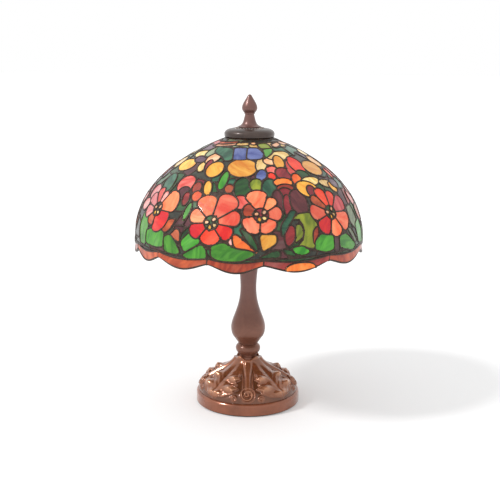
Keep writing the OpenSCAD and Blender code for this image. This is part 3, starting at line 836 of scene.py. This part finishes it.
class GlassBatch(Batch):
    """Pieces of glass with their colours, places on the sheet and tones."""

    def __init__(self):
        super().__init__()
        self.colors, self.sheet, self.tone = [], [], []

    def add_glass(self, points, faces, color, sheet, tone):
        self.add(points, faces)
        self.colors += [glass_names.index(color)] * len(faces)
        self.sheet += [sheet, sheet]
        self.tone += [tone] * len(points)

    def build_glass(self, name):
        materials = [glass[color] for color in glass_names]
        piece = self.build(name, materials, face_materials=self.colors, sharp=SHARP)
        sheet = piece.data.attributes.new("sheet", "FLOAT_VECTOR", "POINT")
        sheet.data.foreach_set("vector", (np.vstack(self.sheet) * MM).ravel())
        tone = piece.data.attributes.new("tone", "FLOAT", "POINT")
        tone.data.foreach_set("value", self.tone)
        return piece


def slab(outer, inner, corners, rim):
    """A closed shell: two skins over the same triangles, and a wall along their rim."""
    size = len(outer)
    faces = corners.tolist() + (corners[:, ::-1] + size).tolist()
    faces += [(b, a, size + a, size + b) for a, b in rim]
    return np.vstack([outer, inner]), faces


# Each glass node of the CAD, and how far down the dome its motifs and its ground pieces reach
ZONES = (("glass_crown", 26, 26), ("glass_blossoms", 94, 60), ("glass_ground", 120, 168),
         ("glass_flowers", 165, 60), ("glass_leaves", spring_s + 1.5, spring_s + 1.5),
         ("glass_border", math.inf, math.inf))


def zone_of(s, is_motif):
    """Which of the CAD's nodes a piece belongs to, from its middle's distance down the dome."""
    return next(name for name, motif_end, ground_end in ZONES
                if s < (motif_end if is_motif else ground_end))


def outline_edges(corners):
    """The edges that only one of a piece's triangles has."""
    edges = [edge for a, b, c in corners.tolist() for edge in ((a, b), (b, c), (c, a))]
    seen = set(edges)
    return [(a, b) for a, b in edges if (b, a) not in seen]


def inward_of(position, normal, rim):
    """The direction into the piece at each point of its outline, and nothing at the others."""
    inward = np.zeros_like(position)
    for a, b in rim:
        side = np.cross(normal[a] + normal[b], position[b] - position[a])
        side /= np.linalg.norm(side) + 1e-9
        inward[a] += side
        inward[b] += side
    length = np.linalg.norm(inward, axis=1, keepdims=True)
    return np.where(length > STRAIGHT, inward / np.maximum(length, STRAIGHT), 0)


def set_by_hand(position, normal, draw):
    """How far each point is moved to press the piece towards flat and set it a little unevenly."""
    middle = position.mean(axis=0)
    facing = normal.mean(axis=0)
    facing /= np.linalg.norm(facing)
    proud = (position - middle) @ facing
    press = FLATTEN * min(1.0, MOST_FLAT / max(0.5 * np.ptp(proud) * FLATTEN, 1e-6))
    tip = Vector((draw.uniform(-1, 1), draw.uniform(-1, 1), draw.uniform(-1, 1)))
    rock = np.clip((position - middle) @ np.array(tip) * ROCK, -MOST_ROCK, MOST_ROCK)
    shift = -press * (proud - proud.mean()) + rock + draw.uniform(-UNEVEN, UNEVEN)
    return shift[:, None] * facing


def glass_color(number, s_middle, draw):
    """A motif's own colour, or for a ground piece one of its band's."""
    if number < len(motif_colors):
        return motif_colors[number]
    return draw.choice(next(colors for end, colors in GROUND_COLORS if s_middle < end))


def cut_from_sheet(spots, s_middle, draw):
    """Where each point of a piece was on the sheet of glass that it was cut from."""
    turn = draw.uniform(0, math.tau)
    c, w = math.cos(turn), math.sin(turn)
    across, down = np.radians(spots[:, 0]) * radius_at(s_middle), spots[:, 1]
    sheet = np.stack([across, down, 0 * down], axis=1) @ [[c, w, 0], [-w, c, 0], [0, 0, 1]]
    return sheet + (draw.uniform(0, 900), draw.uniform(0, 900), draw.uniform(0, 300))


def cut_shapes():
    """Builds every piece of glass, and the solder that fills the slivers between them."""
    zones = {name: GlassBatch() for name, *_ in ZONES}
    fills = Batch()
    draw = random.Random(23)
    for member, glassy in sorted(groups.values(), key=lambda found: found[0][0]):
        corners = triangles[member]
        used, local = np.unique(corners, return_inverse=True)
        local = local.reshape(corners.shape)
        spots, position, normal = points[used], surface[used], outward[used]
        rim = outline_edges(local)
        if not glassy:
            outer = position + FILL_PROUD * normal
            inner = position - (GLASS_T + FILL_PROUD) * normal
            fills.add(*slab(outer, inner, local, rim))
            continue
        inset = position + INSET * inward_of(position, normal, rim)
        outer = inset + set_by_hand(position, normal, draw)
        number, s_middle = owner[member[0]], float(spots[:, 1].mean())
        color = glass_color(number, s_middle, draw)
        sheet = cut_from_sheet(spots, s_middle, draw)
        zone = zones[zone_of(s_middle, number < len(motif_colors))]
        piece = slab(outer, outer - GLASS_T * normal, local, rim)
        zone.add_glass(*piece, color, sheet, draw.random())
    return zones, fills


zones, fills = cut_shapes()
for node, zone in zones.items():
    piece = zone.build_glass(node.replace("glass_", "pieces_"))
    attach(piece, "shade")
    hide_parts(node)
solder_fills = fills.build("solder_fills", [leading], sharp=SHARP)
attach(solder_fills, "shade")

# ---------------------------------------------------------------- the leading

BEAD = 0.95                  # how far a bead stands above the glass
BEAD_SINK = 0.12             # how far its edges lie below the glass's face
BEAD_STEPS = 5               # steps across each of its half rounds
PETAL_BEAD, PLAIN_BEAD = 2.1, 2.5     # widths of the beads between motifs and elsewhere
LEFT_SEAM = SEAM - 350       # edges left of this on the outline are the seam's left side


def bead_section(width):
    """The outline of a joint's lead, half round above the outer and the inner face."""
    half = width / 2
    arc = [math.pi * u / BEAD_STEPS for u in range(BEAD_STEPS + 1)]
    outer = [(half * math.cos(a), BEAD * math.sin(a) ** 0.9 - BEAD_SINK) for a in arc]
    inner = [(-x, -GLASS_T - y) for x, y in outer]
    return np.array(outer + inner)


def chains():
    """The joints as lines of points that run from one meeting point to the next.

    The scalloped edge has its own bead, and the seam shows as a joint on one side only.
    """
    def width_of(pair):
        between_motifs = all(owner[t] < len(motif_colors) for t in pair)
        beside_solder = not all(is_glass[group[t]] for t in pair)
        return PETAL_BEAD if between_motifs or beside_solder else PLAIN_BEAD

    neighbours, width = {}, {}
    for (a, b), pair in joints.items():
        (a_azimuth, a_s), (b_azimuth, b_s) = points[[a, b]]
        on_edge = min(a_s, b_s) > spring_s + 1
        if len(pair) == 1 and (on_edge or max(a_azimuth, b_azimuth) < LEFT_SEAM):
            continue
        neighbours.setdefault(a, []).append(b)
        neighbours.setdefault(b, []).append(a)
        width[a, b] = width[b, a] = width_of(pair)
    ends = {p for p, near in neighbours.items() if len(near) != 2}
    used, lines = set(), []

    def walk(line):
        """Carries the line on to a meeting point, or round to its start."""
        while True:
            used.add(edge_between(*line[-2:]))
            here = line[-1]
            onward = [p for p in neighbours[here] if edge_between(here, p) not in used]
            if here in ends or here == line[0] or not onward:
                return line
            line.append(onward[0])

    for start in sorted(ends) + sorted(neighbours):
        for following in neighbours[start]:
            if edge_between(start, following) not in used:
                line = walk([start, following])
                lines.append((line, float(np.mean([width[e] for e in zip(line, line[1:])]))))
    return lines, ends


def sweep_bead(line, width):
    """The points and faces of one joint's bead, with its numbers starting at 0."""
    spots = points[line].copy()
    closed = line[0] == line[-1]
    for _ in range(2):
        if len(spots) > 2:
            spots[1:-1] = 0.5 * spots[1:-1] + 0.25 * (spots[:-2] + spots[2:])
    place, normal = place_and_normal(spots)
    along = np.gradient(place, axis=0)
    if closed and len(place) > 3:
        along[0] = along[-1] = place[1] - place[-2]
    side = np.cross(along, normal)
    side /= np.linalg.norm(side, axis=1, keepdims=True) + 1e-9
    swell = np.array([1 + 0.20 * noise.noise(Vector(p * 0.16)) + 0.10 * noise.noise(Vector(p * 0.7))
                      for p in place])
    section = bead_section(width)
    rings = place[:, None] + section[None, :, 0, None] * (swell[:, None, None] * side[:, None])
    rings = rings + section[None, :, 1, None] * normal[:, None]
    n = len(section)
    faces = grid_faces(len(place), n)
    if not closed:
        last = (len(place) - 1) * n
        faces += [tuple(range(n - 1, -1, -1)), tuple(range(last, last + n))]
    return rings.reshape(-1, 3), faces


def lead_nets():
    """The beads of every joint, in one mesh for each quarter of the shade."""
    lines, ends = chains()
    quarters = [Batch() for _ in range(4)]
    for line, width in lines:
        azimuth = points[line[len(line) // 2], 0]
        quarters[int((azimuth + 45) % 360 // 90)].add(*sweep_bead(line, width))
    nets = [quarter.build("lead_net_" + side, [leading])
            for side, quarter in zip(("front", "right", "back", "left"), quarters)]
    return nets, ends


BLOB_R = 1.35, 2.1           # least and greatest radius of a blob
BLOB_SIDES = 8
BLOB_RINGS = (1.0, 0.0), (0.86, 0.6), (0.5, 1.0)      # share of the blob's radius and of its height


def blobs(spots):
    """A low round of solder on the outer and the inner face at each meeting point."""
    size = BLOB_SIDES * len(BLOB_RINGS)
    shell = grid_faces(len(BLOB_RINGS), BLOB_SIDES)
    shell += [tuple(range(size - BLOB_SIDES, size)), tuple(range(BLOB_SIDES - 1, -1, -1))]
    batch = Batch()
    draw = random.Random(5)
    turn = np.arange(BLOB_SIDES) * math.tau / BLOB_SIDES
    for place, normal in zip(*place_and_normal(spots)):
        side = np.cross(normal, (0.3, 0.2, 0.93))
        side /= np.linalg.norm(side)
        circle = np.cos(turn)[:, None] * side + np.sin(turn)[:, None] * np.cross(normal, side)
        radius = draw.uniform(*BLOB_R)
        for level, way in ((0.0, 1), (-GLASS_T, -1)):
            rises = [level + way * (up * (BEAD + 0.05) - 0.1) for _, up in BLOB_RINGS]
            rings = [place + reach * radius * circle + rise * normal
                     for (reach, _), rise in zip(BLOB_RINGS, rises)]
            batch.add(np.vstack(rings), [face[::way] for face in shell])
    return batch.build("lead_blobs", [leading])


nets, meeting = lead_nets()
lead_blobs = blobs(points[sorted(meeting)])
for piece in nets + [lead_blobs]:
    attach(piece, "shade")
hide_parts("lead_rings", "lead_ribs")


RIM_STEPS, RIM_SIDES = 480, 12
RIM_BEAD = 2.1, 1.35         # how far the edge's bead reaches from its middle, across and down


def rim_bead():
    """The heavy bead of lead that wraps the scalloped edge."""
    azimuth = np.linspace(VALLEYS[0], VALLEYS[-1], RIM_STEPS + 1)[:-1]
    spots = np.stack([azimuth, edge_s(azimuth) + 0.2], axis=1)
    centre, normal = place_and_normal(spots, -GLASS_T / 2)
    along = np.roll(centre, -1, axis=0) - np.roll(centre, 1, axis=0)
    along /= np.linalg.norm(along, axis=1, keepdims=True)
    down = np.cross(normal, along)
    wave = np.array([1 + 0.07 * noise.noise(Vector(p * 0.12)) for p in centre])[:, None]
    turns = [math.tau * k / RIM_SIDES for k in range(RIM_SIDES)]
    rings = np.stack([centre + wave * (RIM_BEAD[0] * math.cos(a) * normal
                                       + RIM_BEAD[1] * math.sin(a) * down) for a in turns], axis=1)
    rings = rings.reshape(-1, 3)
    faces = grid_faces(RIM_STEPS, RIM_SIDES, closed=True)
    return add_mesh("rim_bead", rings, faces, [leading])


rim = rim_bead()
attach(rim, "shade")
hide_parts("rim_wire")

# ---------------------------------------------------------------- metals and the other materials


def bronze(name, dark, middle, light, roughness, gloss, painted_reflection=None, relief=False):
    """Antique bronze paint over metal: blotched, darker in the hollows, rubbed on the high spots.

    An optional colour takes over towards the top of the column: a painted reflection.
    """
    n = Nodes(name)
    place = n.place()
    blotch = n.noise(place, 34.0, 5.0, 0.6, 0.6)
    fine = n.noise(place, 300.0, 2.0)
    turned = n.noise(n.stretched(place, 1.0, 1.0, 14.0), 60.0, 3.0)
    color = n.mix(n.spread(blotch, 0.32, 0.66), linear(*dark), linear(*middle))
    color = n.mix(n.spread(fine, 0.52, 0.75, 0.0, 0.04), color, linear(*light))
    if painted_reflection:
        # painted reflection: towards the top of the column the colour turns violet-grey
        height = n.add("ShaderNodeSeparateXYZ", {0: place}).outputs[2]
        color = n.mix(n.spread(height, 0.09, 0.17, 0.0, 0.6), color, linear(*painted_reflection))
    if relief:
        height = n.attribute("height")
        hollow = linear(*(0.52 * c for c in dark))
        color = n.mix(n.spread(height, -0.1, 1.2, 0.75, 0.0), color, hollow)
        color = n.mix(n.spread(height, 2.6, 6.0, 0.0, 0.6), color, linear(*light))
    marks = n.math("ADD", n.math("MULTIPLY", fine, 0.03), n.math("MULTIPLY", turned, 0.8))
    n.bump(marks, 0.06, 0.0003)
    return n.surface(color=color, metallic=0.45, roughness=n.spread(fine, 0.3, 0.7, *roughness),
                     coat=gloss, coat_roughness=0.08)


def turned_metal(name, dark, light, roughness=(0.20, 0.38)):
    """Plated or solid metal with the fine rings that a lathe leaves."""
    n = Nodes(name)
    place = n.place()
    grooves = n.noise(n.stretched(place, 0.2, 0.2, 22.0), 90.0, 3.0)
    stain = n.noise(place, 90.0, 5.0)
    color = n.mix(n.spread(stain, 0.35, 0.68), linear(*light), linear(*dark))
    n.bump(grooves, 0.12, 0.0003)
    return n.surface(color=color, metallic=1.0, roughness=n.spread(grooves, 0.3, 0.7, *roughness))


def grained(name, dark, light, scale, roughness, bump, metallic=0.0):
    """A rough or moulded surface with an even grain: felt, board, plastic or cast iron."""
    n = Nodes(name)
    place = n.place()
    grain = n.noise(place, scale, 6.0, 0.65)
    patches = n.noise(place, scale / 12, 3.0)
    color = n.mix(n.spread(grain, 0.32, 0.68), linear(*dark), linear(*light))
    color = n.mix(n.spread(patches, 0.45, 0.75, 0.0, 0.25), color, linear(*light))
    n.bump(grain, bump, 0.0005)
    return n.surface(color=color, metallic=metallic,
                     roughness=n.spread(grain, 0.3, 0.7, *roughness))


def lamp_glass(name, tint, roughness):
    """Thin blown glass, frosted or clear, with faint waves in it."""
    n = Nodes(name)
    place = n.place()
    wave = n.noise(place, 60.0, 2.0)
    color = n.mix(n.spread(wave, 0.3, 0.7), linear(*tint), linear(*(0.97 * c for c in tint)))
    n.bump(wave, 0.08, 0.0004)
    return n.surface(color=color, roughness=n.spread(wave, 0.3, 0.7, roughness, roughness + 0.08),
                     ior=1.45, transmission=0.85)


# How each material slot of the CAD is made: which kind of material, and its settings
FINISHES = {
    "felt": (grained, (26, 42, 32), (44, 62, 48), 900, (0.85, 1.0), 0.9),
    "bronze_base": (bronze, (118, 66, 42), (146, 84, 56), (196, 136, 102), (0.22, 0.26), 0.6),
    # the column's last colour is a painted reflection, laid towards its top
    "bronze_column": (bronze, (108, 68, 52), (132, 86, 68), (150, 108, 90), (0.28, 0.42), 0.2,
                      (104, 76, 76)),
    "bronze_cap": (bronze, (58, 46, 42), (76, 62, 56), (118, 100, 92), (0.28, 0.42), 0.2),
    "cast_iron": (grained, (36, 36, 38), (66, 64, 64), 260, (0.55, 0.8), 0.8, 0.7),
    "zinc_steel": (turned_metal, (138, 138, 132), (196, 196, 190)),
    "brass": (turned_metal, (150, 104, 44), (206, 160, 86)),
    "nickel": (turned_metal, (160, 156, 150), (206, 204, 198), (0.14, 0.28)),
    "black_nylon": (grained, (16, 16, 18), (30, 30, 32), 1400, (0.4, 0.6), 0.3),
    "black_phenolic": (grained, (12, 10, 10), (26, 22, 20), 700, (0.18, 0.3), 0.12),
    "liner_board": (grained, (60, 46, 34), (92, 74, 58), 800, (0.75, 0.95), 0.6),
    "bulb_glass": (lamp_glass, (246, 246, 242), 0.42),
    "clear_glass": (lamp_glass, (240, 244, 242), 0.03),
    "tungsten": (turned_metal, (60, 58, 58), (100, 98, 98)),
}
finishes = {slot: make(slot, *settings) for slot, (make, *settings) in FINISHES.items()}
finishes["leading"] = leading
for part in frame["record"]["subparts"]:
    node, slot = frame["nodes"][part["node"]], part["material_slot"]
    if slot in finishes:
        node.data.materials.clear()
        node.data.materials.append(finishes[slot])

# ---------------------------------------------------------------- the ornament on the foot

foot_top = low("knop")[2]                                    # where the casting's mound ends
FOOT_CURVE = (67.2, 17.0), (60.0, 39.5), (24.0, 44.5), (16.5, foot_top)
LIP = 4.2                    # height of the four leaf tips that stand round the knop's foot

# The rings over the leaf tips and down inside them: radius, height above the mound's top, and
# share of the tips' height
LIP_RINGS = ((16.6, 0.3, 0.55), (16.2, 0.6, 0.95), (14.9, 0.7, 1.0), (13.2, 0.1, 0.4),
             (13.0, -1.2, 0.0))
BURIED = 1.6                 # how deep the shell's inner side lies in the casting

# Half the leaf's width in degrees, by share of the way down the mound
LEAF_WIDTHS = ((0, 40), (0.14, 35), (0.3, 30), (0.48, 31), (0.56, 26), (0.70, 31), (0.80, 27),
               (0.90, 18), (0.955, 0), (1, 0))

# The leaf's lobes: how far each stands out, its degrees from the leaf's line, its half width in
# degrees, its share of the way down the mound, and its half length in mm. The last is a hollow.
LOBES = ((5.2, 21, 7, 0.50, 4.6), (4.4, 20, 8, 0.735, 4.4), (3.4, 0, 11, 0.865, 3.6),
         (-1.4, 22, 9, 0.60, 2.4))


def foot_profile(count):
    """Points up the mound, their outward normals, their share of the way down, and its length."""
    curve = bezier(FOOT_CURVE, count)
    slope = np.gradient(curve, axis=0)
    slope /= np.linalg.norm(slope, axis=1, keepdims=True)
    length = np.concatenate([[0], np.cumsum(np.hypot(*np.diff(curve, axis=0).T))])
    normal = np.stack([slope[:, 1], -slope[:, 0]], axis=1)
    return curve, normal, 1 - length / length[-1], length[-1]


def hill(distance, width):
    return np.exp(-(distance / width) ** 2)


def soft_step(inside, softness):
    """Rises from 0 outside an edge to 1 inside it."""
    return 1 / (1 + np.exp(-inside / softness))


def spiral(x, y, pitch):
    """A spiral groove round a middle, from 0 to 1, and each point's distance from the middle."""
    reach = np.hypot(x, y)
    return 0.5 + 0.5 * np.cos(math.tau * (reach / pitch + np.arctan2(x, y) / math.tau)), reach


def relief_height(azimuth, down, radius, length):
    """How far the ornament stands out: a curled stem at each quarter, a broad leaf between."""
    from_stem = (azimuth + 45) % 90 - 45
    across = np.radians(from_stem) * radius                  # mm from the stem's line
    from_leaf = 45 - np.abs(from_stem)                       # degrees from the leaf's line
    leaf_mm = np.radians(from_leaf) * radius
    below = down * length                                    # mm down the mound

    half = np.interp(down, *zip(*LEAF_WIDTHS))
    half = half * (1 + 0.06 * np.sin(below * 0.8) * np.clip(5 * down - 2, 0, 1))
    margin = np.radians(half - from_leaf) * radius           # mm inside the leaf's edge
    body = soft_step(margin, 0.45)
    crisp = np.clip((down - 0.22) / 0.26, 0, 1)              # the neck of the mound is smooth
    veins = 0.16 * np.cos(below * 0.7 + leaf_mm * 0.8) * crisp
    leaf = body * (1.5 * (0.3 + 0.7 * crisp) + 1.5 * crisp * hill(margin - 1.2, 1.5) + veins
                   - 0.9 * crisp * hill(leaf_mm, 1.2)
                   + 1.4 * hill(leaf_mm - 7, 5) * hill(down - 0.4, 0.3))
    for out, aside, half_width, share, half_length in LOBES:
        leaf += body * out * hill(from_leaf - aside, half_width) * hill(
            below - share * length, half_length)

    stem_width = 3.4 + 2.4 * hill(below - 4, 14)
    stem = 2.6 * np.exp(-(across / stem_width) ** 4) * (down < 0.80)
    stem += 1.2 * crisp * hill(np.abs(across) - 6.2, 0.9) * (down < 0.72)
    groove, reach = spiral(across, 0.825 * length - below, -4.7)
    curl = (0.4 + 3.4 * groove) * soft_step(10.4 - reach, 0.5)
    groove, reach = spiral(np.abs(across) - 18.5, below - 0.91 * length, 2.8)
    scroll = (0.4 + 1.7 * groove) * soft_step(4.4 - reach, 0.4)
    fade = np.clip((1 - down) / 0.03, 0, 1)
    return 0.25 + np.maximum.reduce([leaf, stem, curl, scroll]) * fade


ROWS_UP, SPOKES = 104, 480   # points of the shell up the mound and round it
INNER_ROWS = 8               # points of its inner side


def base_relief():
    """A closed shell over the casting's mound, with its inner side buried in the casting."""
    azimuth = np.arange(SPOKES) * 360 / SPOKES
    curve, normal, down, length = foot_profile(ROWS_UP)
    grid_azimuth, grid_down = np.meshgrid(azimuth, down)
    height = relief_height(grid_azimuth, grid_down, curve[:, :1], length)
    r, z = [curve[:, :1] + normal[:, :1] * height], [curve[:, 1:] + normal[:, 1:] * height]
    heights = [height]
    lip = LIP * (0.5 - 0.5 * np.cos(np.radians(4 * azimuth))) ** 1.4
    for ring_r, up, share in LIP_RINGS:
        r.append(ring_r + 0.12 * lip * (share > 0.5))
        z.append(foot_top + up + share * lip)
        heights.append(2.0 + 0.6 * share * lip)
    inner, inward, *_ = foot_profile(INNER_ROWS)
    for inner_r, inner_z in (inner - BURIED * inward)[::-1]:
        r.append(np.full(SPOKES, inner_r))
        z.append(np.full(SPOKES, inner_z))
        heights.append(np.zeros(SPOKES))
    rings = around(np.radians(azimuth), np.vstack(r), np.vstack(z))
    faces = grid_faces(len(rings), SPOKES, closed=True)
    material = bronze("bronze_relief", (118, 68, 42), (146, 88, 58), (206, 150, 114),
                      (0.19, 0.25), 0.6, relief=True)
    piece = add_mesh("base_relief", rings.reshape(-1, 3), faces, [material])
    stands_out = piece.data.attributes.new("height", "FLOAT", "POINT")
    stands_out.data.foreach_set("value", np.vstack(heights).ravel())
    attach(piece, "stand")


base_relief()


CAP_BEADS, CAP_RING_R, CAP_BEAD_R = 30, 17.6, 1.75
CAP_BEAD_SHAPE = 1.35, 0.92, 1.0      # stretch of a bead outwards, sideways and upwards
BEAD_LEVELS, BEAD_SIDES = 6, 10


def cap_beads():
    """The milled ring of beads on the cap, round the finial's foot."""
    tilt = math.pi * np.arange(1, BEAD_LEVELS)[:, None] / BEAD_LEVELS
    turn = math.tau * np.arange(BEAD_SIDES) / BEAD_SIDES
    bead = np.stack([np.sin(tilt) * np.cos(turn), np.sin(tilt) * np.sin(turn),
                     np.cos(tilt) + 0 * turn], axis=-1).reshape(-1, 3)
    bead *= CAP_BEAD_R * np.array(CAP_BEAD_SHAPE)
    size = len(bead)
    shell = [(a, d, c, b) for a, b, c, d in grid_faces(BEAD_LEVELS - 1, BEAD_SIDES)]
    shell += [tuple(range(BEAD_SIDES)), tuple(range(size - 1, size - 1 - BEAD_SIDES, -1))]
    batch = Batch()
    for i in range(CAP_BEADS):
        a = math.tau * i / CAP_BEADS
        axes = around(a, 1, 0), (math.cos(a), math.sin(a), 0), (0, 0, 1)
        batch.add(around(a, CAP_RING_R, high("vase_cap")[2] - 0.9) + bead @ axes, shell)
    # the beads' pale bronze is partly wear and partly a painted highlight
    lightened = bronze("bronze_beads", (112, 98, 92), (146, 132, 124), (206, 196, 188), (0.2, 0.32), 0.4)
    piece = batch.build("cap_beads", [lightened])
    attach(piece, "shade")


cap_beads()

# ---------------------------------------------------------------- camera, floor and light

# The camera's place in metres, its lens in mm, and its angles in degrees, fitted to the photo
CAMERA_AT = (0.0018, -1.2878, 0.4863)
LENS = 69.98
CAMERA_TILT, CAMERA_ROLL = 78, 0.42
FLOOR_HALF = 14000           # half the floor's width, in mm

scene = bpy.context.scene


def add_camera():
    lens = bpy.data.cameras.new("camera")
    lens.lens = LENS
    lens.clip_start, lens.clip_end = 0.05, 60
    camera = bpy.data.objects.new("camera", lens)
    camera.location = CAMERA_AT
    camera.rotation_euler = (math.radians(CAMERA_TILT), 0, 0)
    camera.rotation_euler.rotate_axis("Z", math.radians(CAMERA_ROLL))
    scene.collection.objects.link(camera)
    scene.camera = camera


def add_floor():
    n = Nodes("paper_floor")
    place = n.place()
    fibre = n.noise(place, 420.0, 4.0)
    white = n.mix(n.spread(fibre, 0.3, 0.7), (0.74, 0.74, 0.745), (0.76, 0.76, 0.76))
    material = n.surface(color=white, roughness=0.8, emission_strength=0.15)
    n.set(n.shader.inputs["Emission Color"], (1, 1, 1, 1))
    corners = [(x * FLOOR_HALF, y * FLOOR_HALF, 0) for x, y in ((-1, -1), (1, -1), (1, 1), (-1, 1))]
    floor = add_mesh("floor", corners, [(0, 1, 2, 3)], [material], smooth=False)


def add_sun(name, direction, angle, strength):
    """A broad soft light from far away, so that it falls off nowhere on the floor."""
    light = bpy.data.lights.new(name, "SUN")
    light.angle, light.energy = math.radians(angle), strength
    lamp = bpy.data.objects.new(name, light)
    lamp.rotation_euler = Vector(direction).to_track_quat("Z", "Y").to_euler()
    lamp.location = Vector(direction) * 2
    scene.collection.objects.link(lamp)


def add_world():
    world = bpy.data.worlds.new("studio")
    world.use_nodes = True
    sky = world.node_tree.nodes["Background"]
    sky.inputs["Color"].default_value = (1, 1, 1, 1)
    sky.inputs["Strength"].default_value = 1.0
    scene.world = world


add_camera()
add_floor()
add_world()
add_sun("key", (-0.70, -0.27, 0.76), 9, 1.6)
scene.view_settings.view_transform = "Standard"
